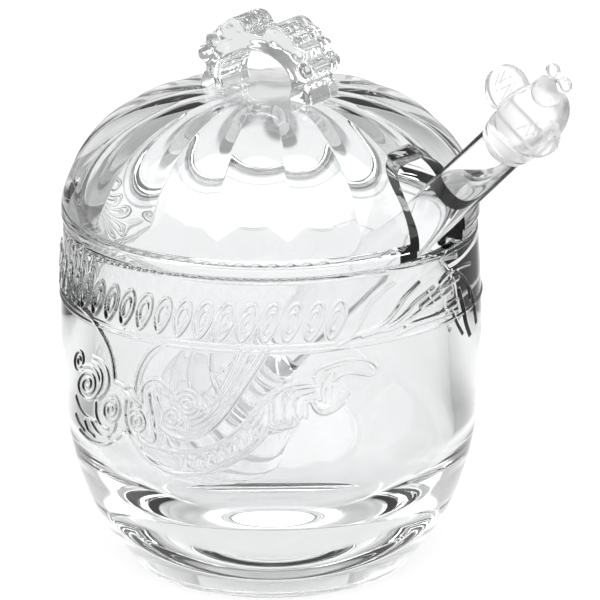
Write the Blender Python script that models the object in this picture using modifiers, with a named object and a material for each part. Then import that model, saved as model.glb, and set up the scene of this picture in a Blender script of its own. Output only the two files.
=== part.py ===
"""Pressed-glass honey pot: an egg-shaped jar, a loose lobed lid with an arched scroll handle, and a
clear dipper with a bee on its end, which leans out through an arched notch in the lid.

Lengths are in metres and angles in degrees. +Z is up, the pot stands on z = 0 and its axis is the
Z axis. Directions round the pot are measured from -Y, which is the front, towards +X.
"""

import math

import bmesh
import bpy
from mathutils import Matrix, Vector

# Clearance between pieces that touch on the real object
FIT_GAP = 0.0003
# Places on the jar's inside at which the dipper head's clearance is measured
WALL_SAMPLES = 160

# Jar
JAR_RADIUS = 0.0500
JAR_HEIGHT = 0.0830
JAR_WIDEST_HEIGHT = 0.0553
JAR_LOWER_REACH = 0.0663
JAR_LOWER_POWER = 2.48
JAR_SIDE_POWER = 2.32
JAR_WALL = 0.0040
JAR_FLOOR = 0.0075
BOWL_RADIUS = 0.0426
BOWL_HEIGHT = 0.0370
RIM_RADIUS = 0.0490
RIM_ROUND = 0.0012
BAND_HEIGHT = 0.0670
BAND_GROOVE_DEPTH = 0.0004
BAND_GROOVE_WIDTH = 0.0016
FOOT_HEIGHT = 0.0010
JAR_STEPS = 60
JAR_STEP_HEIGHT = 0.0060
BOWL_STEPS = 12

# Lid
LID_DOME_RADIUS = 0.0494
LID_DOME_HEIGHT = 0.0281
LID_DOME_SIDE_POWER = 3.2
LID_DOME_CROWN_POWER = 1.67
LID_FLANGE_RADIUS = 0.0488
LID_FLANGE_HEIGHT = 0.0026
LID_WAIST_HEIGHT = 0.0011
LID_WALL = 0.0038
LID_LIP_DEPTH = 0.0024
LID_LIP_WIDTH = 0.0024
LID_LIP_CLEARANCE = 0.0007
LID_EDGE_ROUND = 0.0006
LID_TURN = 55.0
LOBE_COUNT = 18
LOBE_DEPTH = 0.0010
LOBE_CLEAR_RADIUS = 0.0190
LOBE_FADE = 0.0050
LOBE_STEPS = 5

# Notch in the lid
NOTCH_HALF_WIDTH = 0.0096
NOTCH_SHOULDER_HEIGHT = 0.0127
NOTCH_ARCH_HEIGHT = 0.0081
NOTCH_ARCH_POWER = 3.0
NOTCH_ARCH_POINTS = 14
NOTCH_START_RADIUS = 0.0240

# Handle
HANDLE_WIDTH = 0.0116
HANDLE_FOOT_INNER = 0.0092
HANDLE_FOOT_OUTER = 0.0160
HANDLE_ARCH_HALF_WIDTH = 0.0100
HANDLE_ARCH_SPRING = 0.0025
HANDLE_ARCH_HEIGHT = 0.0101
HANDLE_WAIST = 0.0150
HANDLE_WAIST_HEIGHT = 0.0042
HANDLE_DIP_HEIGHT = 0.0144
HANDLE_EDGE = 0.0005
HANDLE_ROOT_DEPTH = 0.0030
HANDLE_FOOT_HEIGHT = 0.0008
# Centre height above the crown, distance out from the middle, and radius of each rolled leaf
HANDLE_ROLLS = (
    (0.0074, 0.0144, 0.0023),
    (0.0108, 0.0122, 0.0022),
    (0.0131, 0.0094, 0.0021),
    (0.0137, 0.0059, 0.0036),
)
HANDLE_OUTLINE_POINTS = 46
HANDLE_ARCH_POINTS = 16

# Dipper
DIPPER_TURN = 52.0
DIPPER_TILT = 44.3
DIPPER_LENGTH = 0.1327
SHAFT_RADIUS = 0.0057
SHAFT_EDGE = 0.0004
PEG_RADIUS = 0.0025
PEG_LENGTH = 0.0110
HEAD_LENGTH = 0.0400
HEAD_RADIUS = 0.0168
HEAD_END_RADIUS = 0.0108
HEAD_CORE_RADIUS = 0.0055
HEAD_DISCS = 6
HEAD_SLOT_SHARE = 0.42
HEAD_COLLAR_LENGTH = 0.0060
HEAD_COLLAR_RADIUS = 0.0066
HEAD_STEPS = 24
TURNED_STEPS = 32

# Bee on the dipper's outer end
BEE_LENGTH = 0.0212
BEE_NECK_RADIUS = 0.0060
BEE_BARREL_RADIUS = 0.0073
BEE_BARREL_HEIGHT = 0.0085
BEE_BARREL_POWER = 2.8
BEE_RING_HEIGHTS = (0.0024, 0.0064)
BEE_RING_DEPTH = 0.0004
BEE_RING_WIDTH = 0.0006
BEE_HEAD_RADIUS = 0.0037
BEE_HEAD_FORWARD = 0.0030
BEE_HEAD_BACK = 0.0015
WING_RADIUS = 0.0058
WING_THICKNESS = 0.0026
WING_SPREAD = 0.0059
WING_BACK = 0.0021
WING_FORWARD = 0.0029
WING_HEIGHT = 0.0122
ANTENNA_RADIUS = 0.0018
ANTENNA_THICKNESS = 0.0018
ANTENNA_SPREAD = 24.0
ANTENNA_LEAN = 4.5
ANTENNA_TURN = 10.0
COIN_EDGE = 0.0004
SMALL_STEPS = 20


def jar_outer_radius(z):
    """Outside radius of the jar's wall: a superellipse below its widest place, easing in to the rim above it."""
    if z < JAR_WIDEST_HEIGHT:
        fall = (JAR_WIDEST_HEIGHT - z) / JAR_LOWER_REACH
        return JAR_RADIUS * (1 - fall**JAR_LOWER_POWER) ** (1 / JAR_SIDE_POWER)
    rise = (z - JAR_WIDEST_HEIGHT) / (JAR_HEIGHT - JAR_WIDEST_HEIGHT)
    return JAR_RADIUS - (JAR_RADIUS - RIM_RADIUS) * rise**2


def jar_inner_radius(z):
    """Inside radius of the jar: an elliptical bowl, and above it a wall that thins towards the rim."""
    if z < BOWL_HEIGHT:
        share = (BOWL_HEIGHT - z) / (BOWL_HEIGHT - JAR_FLOOR)
        return BOWL_RADIUS * math.sqrt(max(1 - share**2, 0.0))
    rise = (z - BOWL_HEIGHT) / (JAR_HEIGHT - BOWL_HEIGHT)
    return BOWL_RADIUS + (RIM_RADIUS - JAR_WALL - BOWL_RADIUS) * rise**2


def arc(centre_r, centre_z, radius, start, end, count):
    """Points (r, z) along an arc, from the angle start to the angle end."""
    points = []
    for step in range(count + 1):
        angle = math.radians(start + (end - start) * step / count)
        points.append((centre_r + radius * math.cos(angle), centre_z + radius * math.sin(angle)))
    return points


def spaced(low, high, count):
    """Evenly spaced numbers from low to high, both included."""
    return [low + (high - low) * step / (count - 1) for step in range(count)]


def moved_to(obj, collection):
    """The object, linked to this collection only."""
    for owner in list(obj.users_collection):
        owner.objects.unlink(obj)
    collection.objects.link(obj)
    return obj


def added(name, data, collection):
    """A new object with this data in the collection. An empty has None as its data."""
    obj = bpy.data.objects.new(name, data)
    collection.objects.link(obj)
    return obj


def turned(name, outline, steps, collection):
    """A turned shape from an outline of (r, z) points that runs down its outer side."""
    mesh = bpy.data.meshes.new(name)
    edges = [(index, index + 1) for index in range(len(outline) - 1)]
    mesh.from_pydata([(r, 0.0, z) for r, z in outline], edges, [])
    obj = added(name, mesh, collection)
    screw = obj.modifiers.new("Turn", "SCREW")
    screw.axis = "Z"
    screw.angle = math.tau
    screw.steps = steps
    screw.render_steps = steps
    screw.use_merge_vertices = True
    screw.merge_threshold = 0.00001
    screw.use_smooth_shade = True
    return obj


def applied(obj):
    """Bakes the modifiers of an object into its mesh, with loose caps welded."""
    graph = bpy.context.evaluated_depsgraph_get()
    mesh = bpy.data.meshes.new_from_object(obj.evaluated_get(graph))
    shape = bmesh.new()
    shape.from_mesh(mesh)
    bmesh.ops.remove_doubles(shape, verts=shape.verts, dist=0.00001)
    shape.to_mesh(mesh)
    shape.free()
    obj.modifiers.clear()
    obj.data = mesh
    return obj


def extruded(name, outline, thickness, collection):
    """A flat outline of (x, y) points made into a mesh slab, centred on its own XY plane."""
    curve = bpy.data.curves.new(name, "CURVE")
    curve.dimensions = "2D"
    curve.fill_mode = "BOTH"
    curve.extrude = thickness / 2
    spline = curve.splines.new("POLY")
    spline.points.add(len(outline) - 1)
    for point, (x, y) in zip(spline.points, outline):
        point.co = (x, y, 0.0, 1.0)
    spline.use_cyclic_u = True
    guide = added(name + "_guide", curve, collection)
    graph = bpy.context.evaluated_depsgraph_get()
    mesh = bpy.data.meshes.new_from_object(guide.evaluated_get(graph))
    shape = bmesh.new()
    shape.from_mesh(mesh)
    bmesh.ops.remove_doubles(shape, verts=shape.verts, dist=0.00001)
    bmesh.ops.recalc_face_normals(shape, faces=shape.faces)
    shape.to_mesh(mesh)
    shape.free()
    mesh.name = name
    obj = added(name, mesh, collection)
    bpy.data.objects.remove(guide)
    return obj


def coin(name, radius, thickness, collection):
    """A round disc with softened edges, its faces square to X."""
    bpy.ops.mesh.primitive_cylinder_add(vertices=SMALL_STEPS, radius=radius, depth=thickness)
    obj = bpy.context.object
    obj.name = name
    obj.data.name = name
    obj.data.transform(Matrix.Rotation(math.radians(90), 4, "Y"))
    bevel_edges(obj, COIN_EDGE, 1)
    return moved_to(obj, collection)


def ball(name, radius, collection):
    bpy.ops.mesh.primitive_uv_sphere_add(segments=SMALL_STEPS, ring_count=SMALL_STEPS // 2, radius=radius)
    obj = bpy.context.object
    obj.name = name
    obj.data.name = name
    return moved_to(obj, collection)


def bevel_edges(obj, width, segments):
    bevel = obj.modifiers.new("Soft edges", "BEVEL")
    bevel.width = width
    bevel.segments = segments
    bevel.limit_method = "ANGLE"
    bevel.angle_limit = math.radians(40)
    return bevel


def cut(obj, cutter):
    modifier = obj.modifiers.new("Cut " + cutter.name, "BOOLEAN")
    modifier.operation = "DIFFERENCE"
    modifier.object = cutter
    return modifier


def as_cutter(obj):
    obj.hide_render = True
    obj.display_type = "WIRE"
    return obj


def smooth(obj, angle=35.0):
    obj.data.shade_smooth()
    obj.data.set_sharp_from_angle(angle=math.radians(angle))


def clear_material(name, colour, roughness, refraction):
    material = bpy.data.materials.new(name)
    material.use_nodes = True
    shader = material.node_tree.nodes["Principled BSDF"]
    shader.inputs["Base Color"].default_value = (*colour, 1.0)
    shader.inputs["Roughness"].default_value = roughness
    shader.inputs["Metallic"].default_value = 0.0
    shader.inputs["IOR"].default_value = refraction
    shader.inputs["Transmission Weight"].default_value = 1.0
    material.diffuse_color = (*colour, 0.4)
    return material


def paint(obj, name, colour, roughness, refraction):
    obj.data.materials.clear()
    obj.data.materials.append(clear_material(name, colour, roughness, refraction))


def glass(obj):
    paint(obj, obj.name + "_glass", (0.93, 0.94, 0.94), 0.03, 1.52)


def acrylic(obj):
    paint(obj, obj.name + "_acrylic", (0.96, 0.96, 0.96), 0.06, 1.49)


def band_groove(z):
    """How deep the turned line under the jar's band cuts at this height."""
    away = abs(z - BAND_HEIGHT) / (BAND_GROOVE_WIDTH / 2)
    return BAND_GROOVE_DEPTH * max(0.0, 1 - away)


def jar_outline():
    foot_radius = jar_outer_radius(FOOT_HEIGHT)
    outline = []
    for step in range(BOWL_STEPS + 1):
        angle = math.pi / 2 * step / BOWL_STEPS
        height = BOWL_HEIGHT - (BOWL_HEIGHT - JAR_FLOOR) * math.cos(angle)
        outline.append((BOWL_RADIUS * math.sin(angle), height))
    inner_heights = spaced(BOWL_HEIGHT, JAR_HEIGHT - RIM_ROUND, 6)
    outline += [(jar_inner_radius(z), z) for z in inner_heights[1:-1]]
    inner_rim = jar_inner_radius(JAR_HEIGHT)
    top = JAR_HEIGHT - RIM_ROUND
    outline += arc(inner_rim + RIM_ROUND, top, RIM_ROUND, 180, 90, 3)
    outline += arc(RIM_RADIUS - RIM_ROUND, top, RIM_ROUND, 90, 0, 3)
    half_groove = BAND_GROOVE_WIDTH / 2
    outer_heights = [(JAR_HEIGHT + BAND_HEIGHT) / 2]
    outer_heights += [BAND_HEIGHT + half_groove, BAND_HEIGHT, BAND_HEIGHT - half_groove]
    outer_heights += spaced(BAND_HEIGHT - JAR_STEP_HEIGHT, FOOT_HEIGHT, 13)
    outline += [(jar_outer_radius(z) - band_groove(z), z) for z in outer_heights]
    outline += [(foot_radius - FOOT_HEIGHT / 2, 0.0), (0.0, 0.0)]
    return outline


def make_jar(parts):
    jar = turned("jar", jar_outline(), JAR_STEPS, parts)
    glass(jar)
    return jar


def dome_height(r, radius, height):
    """Height of a superellipse dome above its equator, at this distance from the axis."""
    share = min(r / radius, 1.0)
    return height * (1 - share**LID_DOME_SIDE_POWER) ** (1 / LID_DOME_CROWN_POWER)


def dome_points(radius, height, equator, count):
    """Points (r, z) of a dome from its crown down to its equator."""
    points = []
    for step in range(count + 1):
        angle = math.radians(90 * (1 - step / count))
        r = radius * math.cos(angle) ** (2 / LID_DOME_SIDE_POWER)
        z = equator + height * math.sin(angle) ** (2 / LID_DOME_CROWN_POWER)
        points.append((0.0 if step == 0 else r, z))
    return points


def lid_seat():
    """Height of the lid's underside, just clear of the jar's rim."""
    return JAR_HEIGHT + FIT_GAP


def lid_equator():
    return lid_seat() + LID_FLANGE_HEIGHT + LID_WAIST_HEIGHT


def lid_crown():
    return lid_equator() + LID_DOME_HEIGHT


def dome_outer_height(r):
    """Height of the lid's outer face at this distance from the axis."""
    return lid_equator() + dome_height(r, LID_DOME_RADIUS, LID_DOME_HEIGHT)


def lid_outline():
    seat = lid_seat()
    equator = lid_equator()
    outline = dome_points(LID_DOME_RADIUS, LID_DOME_HEIGHT, equator, 13)
    flange_top = seat + LID_FLANGE_HEIGHT
    outline.append(((LID_DOME_RADIUS + LID_FLANGE_RADIUS) / 2, (equator + flange_top) / 2))
    outline.append((LID_FLANGE_RADIUS, flange_top))
    edge = LID_EDGE_ROUND
    outline += arc(LID_FLANGE_RADIUS - edge, seat + edge, edge, 0, -90, 2)
    lip_outer = jar_inner_radius(JAR_HEIGHT) - LID_LIP_CLEARANCE
    lip_bottom = seat - LID_LIP_DEPTH
    outline.append((lip_outer, seat))
    outline.append((lip_outer - edge / 2, lip_bottom + edge))
    outline.append((lip_outer - edge, lip_bottom))
    outline.append((lip_outer - LID_LIP_WIDTH + edge, lip_bottom))
    outline.append((lip_outer - LID_LIP_WIDTH, lip_bottom + edge))
    inner_radius = LID_DOME_RADIUS - LID_WALL
    inner_height = LID_DOME_HEIGHT - LID_WALL
    outline.append((lip_outer - LID_LIP_WIDTH, seat + LID_FLANGE_HEIGHT / 2))
    inner = dome_points(inner_radius, inner_height, equator, 8)
    outline += inner[::-1]
    return outline


def lobe_strength(r, z):
    """0 to 1: how far the lid's lobes stand at this place. They fade out at the crown and above the flange."""
    crown = (r - LOBE_CLEAR_RADIUS) / LOBE_FADE
    foot = (z - lid_equator() - LOBE_FADE / 2) / LOBE_FADE
    return min(max(crown, 0.0), 1.0) * min(max(foot, 0.0), 1.0)


def press_lobes(mesh):
    """Draws the lid's outer face in between its lobes, one of which is centred on the lid's own -Y side."""
    equator = lid_equator()
    inner_limit = LID_WALL / 2
    for vertex in mesh.vertices:
        x, y, z = vertex.co
        r = math.hypot(x, y)
        if z <= equator or r < LOBE_CLEAR_RADIUS:
            continue
        if z < dome_outer_height(r + inner_limit) or r > LID_DOME_RADIUS:
            continue
        around = math.atan2(x, -y)
        crease = 1 - abs(math.cos(LOBE_COUNT * around / 2))
        depth = LOBE_DEPTH * crease * lobe_strength(r, z)
        scale = 1 - depth / r
        vertex.co.x = x * scale
        vertex.co.y = y * scale
        vertex.co.z = z - depth * (z - equator) / LID_DOME_HEIGHT


def notch_outline():
    """The notch as seen from outside: x across it and y up from the lid's underside."""
    below = -2 * LID_LIP_DEPTH
    outline = [(-NOTCH_HALF_WIDTH, below), (NOTCH_HALF_WIDTH, below)]
    for step in range(NOTCH_ARCH_POINTS + 1):
        angle = math.pi * step / NOTCH_ARCH_POINTS
        across = abs(math.cos(angle)) ** (2 / NOTCH_ARCH_POWER)
        rise = math.sin(angle) ** (2 / NOTCH_ARCH_POWER)
        side = 1 if angle < math.pi / 2 else -1
        x = side * NOTCH_HALF_WIDTH * across
        outline.append((x, NOTCH_SHOULDER_HEIGHT + NOTCH_ARCH_HEIGHT * rise))
    return outline


def notch_cutter(cutters):
    depth = LID_DOME_RADIUS
    cutter = extruded("notch_cutter", notch_outline(), depth, cutters)
    cutter.rotation_euler = (math.radians(90), 0, math.radians(LID_TURN))
    reach = NOTCH_START_RADIUS + depth / 2
    turn = math.radians(LID_TURN)
    cutter.location = (reach * math.sin(turn), -reach * math.cos(turn), lid_seat())
    return as_cutter(cutter)


def make_lid(parts, cutters):
    steps = LOBE_COUNT * LOBE_STEPS
    lid = applied(turned("lid_dome", lid_outline(), steps, parts))
    press_lobes(lid.data)
    lid.rotation_euler = (0, 0, math.radians(LID_TURN))
    cut(lid, notch_cutter(cutters))
    smooth(lid)
    glass(lid)
    return lid


def roll_reach(angle, roll):
    """Distance from the middle of the handle's base to the far side of a rolled leaf, or 0 where it is missed."""
    height, out, radius = roll
    along = out * math.cos(angle) + height * math.sin(angle)
    square = radius**2 - (out**2 + height**2 - along**2)
    return along + math.sqrt(square) if square > 0 and along > 0 else 0.0


def band_reach(angle):
    """Distance from the middle of the handle's base to the plain strap that carries the rolled leaves."""
    out = HANDLE_WAIST / max(math.cos(angle), 0.0001)
    up = HANDLE_DIP_HEIGHT / max(math.sin(angle), 0.0001)
    return 1 / math.sqrt(1 / out**2 + 1 / up**2) if angle > 0 else out


def handle_half_outline():
    """Right half of the handle's outer outline, from its foot up to the dip in the middle, as (out, up)."""
    start = math.atan2(HANDLE_WAIST_HEIGHT, HANDLE_WAIST)
    points = [(HANDLE_FOOT_OUTER, -HANDLE_ROOT_DEPTH), (HANDLE_FOOT_OUTER, HANDLE_FOOT_HEIGHT)]
    for step in range(HANDLE_OUTLINE_POINTS // 2 + 1):
        angle = start + (math.pi / 2 - start) * step / (HANDLE_OUTLINE_POINTS // 2)
        reach = max([band_reach(angle)] + [roll_reach(angle, roll) for roll in HANDLE_ROLLS])
        points.append((reach * math.cos(angle), reach * math.sin(angle)))
    return points


def handle_outline():
    right = handle_half_outline()
    outline = right + [(-out, up) for out, up in right[-2::-1]]
    outline.append((-HANDLE_FOOT_INNER, -HANDLE_ROOT_DEPTH))
    outline.append((-HANDLE_FOOT_INNER, 0.0))
    rise = HANDLE_ARCH_HEIGHT - HANDLE_ARCH_SPRING
    for step in range(HANDLE_ARCH_POINTS + 1):
        angle = math.pi * (1 - step / HANDLE_ARCH_POINTS)
        out = HANDLE_ARCH_HALF_WIDTH * math.cos(angle)
        outline.append((out, HANDLE_ARCH_SPRING + rise * math.sin(angle)))
    outline.append((HANDLE_FOOT_INNER, 0.0))
    outline.append((HANDLE_FOOT_INNER, -HANDLE_ROOT_DEPTH))
    return outline


def crown_cutter(cutters):
    """The lid's outer face, grown by the fit gap, which trims the handle's feet to the dome."""
    radius = LID_DOME_RADIUS + FIT_GAP
    outline = dome_points(radius, LID_DOME_HEIGHT + FIT_GAP, lid_equator(), JAR_STEPS)
    outline.append((0.0, lid_equator()))
    return as_cutter(turned("crown_cutter", outline, LOBE_COUNT * LOBE_STEPS, cutters))


def make_handle(parts, cutters):
    handle = extruded("lid_handle", handle_outline(), HANDLE_WIDTH, parts)
    # The outline's x runs along the handle and its y up: stand it up, in line with the notch.
    handle.rotation_euler = (math.radians(90), 0, math.radians(LID_TURN - 90))
    handle.location = (0, 0, lid_crown())
    bevel_edges(handle, HANDLE_EDGE, 1)
    cut(handle, crown_cutter(cutters))
    smooth(handle)
    glass(handle)
    return handle


def head_outline_radius(share):
    """Radius of the dipper head's discs: share 0 is its far end and 1 is its end at the shaft."""
    swell = math.sin(math.pi * (0.22 + 0.66 * share)) ** 0.8
    return HEAD_END_RADIUS + (HEAD_RADIUS - HEAD_END_RADIUS) * (2 * swell - 1)


def head_outline():
    """Outline (r, z) of the dipper's head, from the shaft end down to its far end at z = 0."""
    collar_bottom = HEAD_LENGTH - HEAD_COLLAR_LENGTH
    outline = [(0.0, HEAD_LENGTH + PEG_LENGTH - FIT_GAP), (PEG_RADIUS, HEAD_LENGTH + PEG_LENGTH - FIT_GAP)]
    outline += [(PEG_RADIUS, HEAD_LENGTH), (SHAFT_RADIUS, HEAD_LENGTH)]
    middle = HEAD_LENGTH - HEAD_COLLAR_LENGTH / 2
    ring = HEAD_COLLAR_LENGTH / 8
    outline += [(SHAFT_RADIUS, middle + 2 * ring), (HEAD_COLLAR_RADIUS, middle + ring)]
    outline += [(HEAD_COLLAR_RADIUS, middle - ring), (SHAFT_RADIUS, middle - 2 * ring)]
    pitch = collar_bottom / HEAD_DISCS
    slot = pitch * HEAD_SLOT_SHARE
    for disc in reversed(range(HEAD_DISCS)):
        top = (disc + 1) * pitch - slot
        bottom = disc * pitch
        radius = head_outline_radius((top + bottom) / 2 / collar_bottom)
        edge = (top - bottom) / 4
        outline.append((HEAD_CORE_RADIUS, top + slot))
        outline.append((HEAD_CORE_RADIUS, top + edge / 2))
        outline.append((radius - edge, top))
        outline.append((radius, (top + bottom) / 2))
        outline.append((radius - edge, bottom))
    outline.append((0.0, 0.0))
    return outline


def dipper_direction():
    """Distance out from the pot's axis and height gained along one metre of the dipper."""
    tilt = math.radians(DIPPER_TILT)
    return math.cos(tilt), math.sin(tilt)


def rim_point():
    """Place (out, up) on the dipper's axis beside the rim's rounded inner edge, which the shaft lies on."""
    out, up = dipper_direction()
    lift = RIM_ROUND + FIT_GAP + SHAFT_RADIUS
    edge_out = jar_inner_radius(JAR_HEIGHT) + RIM_ROUND
    return edge_out - lift * up, JAR_HEIGHT - RIM_ROUND + lift * out


def head_clearance(reach):
    """Smallest room between the head and the jar's inside when the head's far end is this far from the rim."""
    out, up = dipper_direction()
    rim_out, rim_up = rim_point()
    wall = [(jar_inner_radius(z), z) for z in spaced(JAR_FLOOR, JAR_HEIGHT, WALL_SAMPLES)]
    room = 1.0
    for radius, along in head_outline():
        distance = reach - along
        for side in (-1, 1):
            s = abs(rim_out - distance * out + side * radius * up)
            z = rim_up - distance * up - side * radius * out
            if z < JAR_FLOOR or s > jar_inner_radius(z):
                return -1.0
            room = min(room, min(math.hypot(wall_s - s, wall_z - z) for wall_s, wall_z in wall))
    return room


def head_reach():
    """Distance along the dipper from the rim to its far end, with the head resting in the jar."""
    near = HEAD_LENGTH + PEG_LENGTH
    far = 4 * JAR_HEIGHT
    for _ in range(30):
        middle = (near + far) / 2
        if head_clearance(middle) > FIT_GAP:
            near = middle
        else:
            far = middle
    return near


def dipper_axis(parts):
    """The empty that carries the dipper: at its far end, with +Z along the shaft and +Y up and back."""
    out, up = dipper_direction()
    rim_out, rim_up = rim_point()
    reach = head_reach()
    s = rim_out - reach * out
    turn = math.radians(DIPPER_TURN)
    axis = added("dipper_axis", None, parts)
    axis.location = (s * math.sin(turn), -s * math.cos(turn), rim_up - reach * up)
    axis.rotation_euler = (math.radians(90 - DIPPER_TILT), 0, turn)
    axis.empty_display_size = SHAFT_RADIUS
    return axis


def shaft_outline():
    """Outline of the shaft, a rod with a blind bore in each end, from z = 0 at the head."""
    length = DIPPER_LENGTH - HEAD_LENGTH - FIT_GAP
    bore = PEG_RADIUS + FIT_GAP
    edge = SHAFT_EDGE
    outline = [(0.0, length - PEG_LENGTH), (bore, length - PEG_LENGTH), (bore, length)]
    outline += [(SHAFT_RADIUS - edge, length), (SHAFT_RADIUS, length - edge)]
    outline += [(SHAFT_RADIUS, length * share) for share in (0.75, 0.5, 0.25)]
    outline += [(SHAFT_RADIUS, edge), (SHAFT_RADIUS - edge, 0.0)]
    outline += [(bore, 0.0), (bore, PEG_LENGTH), (0.0, PEG_LENGTH)]
    return outline


def make_dipper(parts):
    axis = dipper_axis(parts)
    head = turned("dipper_head", head_outline(), HEAD_STEPS, parts)
    shaft = turned("dipper_shaft", shaft_outline(), TURNED_STEPS, parts)
    shaft.location = (0, 0, HEAD_LENGTH + FIT_GAP)
    for piece in (head, shaft):
        piece.parent = axis
        acrylic(piece)
    return axis


def barrel_radius(z):
    """Radius of the bee's barrel at this height above the shaft's end."""
    if z < BEE_BARREL_HEIGHT:
        share = 1 - z / BEE_BARREL_HEIGHT
        return BEE_BARREL_RADIUS - (BEE_BARREL_RADIUS - BEE_NECK_RADIUS) * share**2
    share = (z - BEE_BARREL_HEIGHT) / (BEE_LENGTH - BEE_BARREL_HEIGHT)
    return BEE_BARREL_RADIUS * max(1 - share**BEE_BARREL_POWER, 0.0) ** (1 / 2)


def barrel_outline(grow):
    """The bee's barrel from its top down to its widest place, grown outwards by this much."""
    points = []
    for step in range(9):
        angle = math.radians(90 * step / 8)
        z = BEE_BARREL_HEIGHT + (BEE_LENGTH - BEE_BARREL_HEIGHT) * math.cos(angle)
        radius = 0.0 if step == 0 else barrel_radius(z) + grow
        points.append((radius, z + grow * math.cos(angle)))
    return points


def barrel_cutter(cutters):
    """The whole barrel without its rings, grown by the fit gap."""
    outline = barrel_outline(FIT_GAP)
    outline += [(barrel_radius(z) + FIT_GAP, z) for z in spaced(BEE_BARREL_HEIGHT, 0.0, 6)[1:]]
    outline.append((0.0, 0.0))
    return as_cutter(turned("barrel_cutter", outline, TURNED_STEPS, cutters))


def bee_body_outline():
    outline = barrel_outline(0.0)
    half = BEE_RING_WIDTH / 2
    for height in reversed(BEE_RING_HEIGHTS):
        outline.append((barrel_radius(height + half), height + half))
        outline.append((barrel_radius(height) - BEE_RING_DEPTH, height))
        outline.append((barrel_radius(height - half), height - half))
    outline.append((barrel_radius(FIT_GAP), FIT_GAP))
    outline += [(PEG_RADIUS, FIT_GAP), (PEG_RADIUS, FIT_GAP - PEG_LENGTH), (0.0, FIT_GAP - PEG_LENGTH)]
    return outline


def antenna_place(side):
    """Centre of an antenna in the bee's frame, its edge set into the head."""
    lean = math.radians(ANTENNA_LEAN + ANTENNA_SPREAD * side)
    reach = BEE_HEAD_RADIUS + ANTENNA_RADIUS - COIN_EDGE
    return head_place() + reach * Vector((0, math.sin(lean), math.cos(lean)))


def head_place():
    return Vector((-BEE_HEAD_FORWARD, BEE_HEAD_BACK, BEE_LENGTH))


def make_bee(parts, cutters, axis):
    """The bee's pieces. In its frame +Z is along the body, +Y is up and back, and -X is the side its face is on."""
    bee = added("bee_axis", None, parts)
    bee.parent = axis
    bee.location = (0, 0, DIPPER_LENGTH)
    bee.empty_display_size = SHAFT_RADIUS
    body = turned("bee_body", bee_body_outline(), TURNED_STEPS, parts)
    head = ball("bee_head", BEE_HEAD_RADIUS, parts)
    socket = as_cutter(ball("head_socket_cutter", BEE_HEAD_RADIUS + FIT_GAP, cutters))
    barrel = barrel_cutter(cutters)
    for piece in (head, socket):
        piece.location = head_place()
    cut(body, socket)
    pieces = [body, head]
    for side, word in ((1, "left"), (-1, "right")):
        wing = coin("bee_wing_" + word, WING_RADIUS, WING_THICKNESS, parts)
        wing.location = (-WING_FORWARD, WING_BACK + side * WING_SPREAD, WING_HEIGHT)
        cut(wing, barrel)
        antenna = coin("bee_antenna_" + word, ANTENNA_RADIUS, ANTENNA_THICKNESS, parts)
        antenna.location = antenna_place(side)
        antenna.rotation_euler = (0, 0, math.radians(-ANTENNA_TURN * side))
        cut(antenna, socket)
        pieces += [wing, antenna]
    for piece in pieces + [socket, barrel]:
        piece.parent = bee
    for piece in pieces:
        smooth(piece)
        acrylic(piece)


def new_collection(name):
    collection = bpy.data.collections.new(name)
    bpy.context.scene.collection.children.link(collection)
    return collection


def main():
    for obj in list(bpy.data.objects):
        bpy.data.objects.remove(obj, do_unlink=True)
    parts = new_collection("honey_pot")
    cutters = new_collection("cutters")
    make_jar(parts)
    make_lid(parts, cutters)
    make_handle(parts, cutters)
    make_bee(parts, cutters, make_dipper(parts))


main()
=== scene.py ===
"""Looks of the pressed-glass honey pot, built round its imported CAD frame. Lengths are in millimetres in
the shape functions and become metres in the meshes. Directions round the pot are measured from -Y, its
front, towards +X."""

import math

import bmesh
import bpy
import numpy as np
from mathutils import Matrix, Vector


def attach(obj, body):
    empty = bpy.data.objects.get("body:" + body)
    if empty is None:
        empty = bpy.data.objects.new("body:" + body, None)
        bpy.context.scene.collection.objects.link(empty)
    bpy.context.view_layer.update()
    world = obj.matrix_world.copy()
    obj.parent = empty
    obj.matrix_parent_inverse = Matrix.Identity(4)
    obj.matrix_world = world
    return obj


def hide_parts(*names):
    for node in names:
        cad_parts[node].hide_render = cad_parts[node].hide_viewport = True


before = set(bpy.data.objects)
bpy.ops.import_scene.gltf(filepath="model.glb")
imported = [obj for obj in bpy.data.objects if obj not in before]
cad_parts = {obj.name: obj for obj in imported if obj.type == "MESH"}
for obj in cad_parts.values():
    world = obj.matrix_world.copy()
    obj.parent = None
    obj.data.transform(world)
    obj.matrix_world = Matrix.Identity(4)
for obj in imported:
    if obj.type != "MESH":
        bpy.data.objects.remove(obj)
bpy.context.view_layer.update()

MM = 0.001

# Jar, as in the CAD
JAR_RADIUS = 50.0
JAR_HEIGHT = 83.0
WIDEST = 55.3
LOWER_REACH = 66.3
LOWER_POWER = 2.48
SIDE_POWER = 2.32
WALL = 4.0
FLOOR = 7.5
BOWL_RADIUS = 42.6
BOWL_HEIGHT = 37.0
RIM_RADIUS = 49.0
RIM_ROUND = 1.2
RELIEF_LOW = 22.0
RELIEF_HIGH = 80.0
RELIEF_ROW = 0.25
JAR_STEPS = 1240
SKIN = 0.12
FOOT_ROUND = 0.5

# The jar's band. Directions are in degrees.
LOOPS = range(-24, 4)
LOOP_PITCH = 5.95
LOOP_START = -0.6
LOOP_MIDDLE = 73.2
LOOP_HALF_WIDTH = 2.0
LOOP_HALF_LENGTH = 4.4
LOOP_LEAN = 0.3
LOOP_PINCH = 0.3
LOOP_HEIGHT = 0.6
LOOP_LINES = ((1.0, 0.5), (0.55, 0.42))
BAND_LINES = ((66.3, -150, 205), (67.6, -150, 18))
BAND_LINE_HALF = 0.45
BAND_LINE_HEIGHT = 0.4

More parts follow.
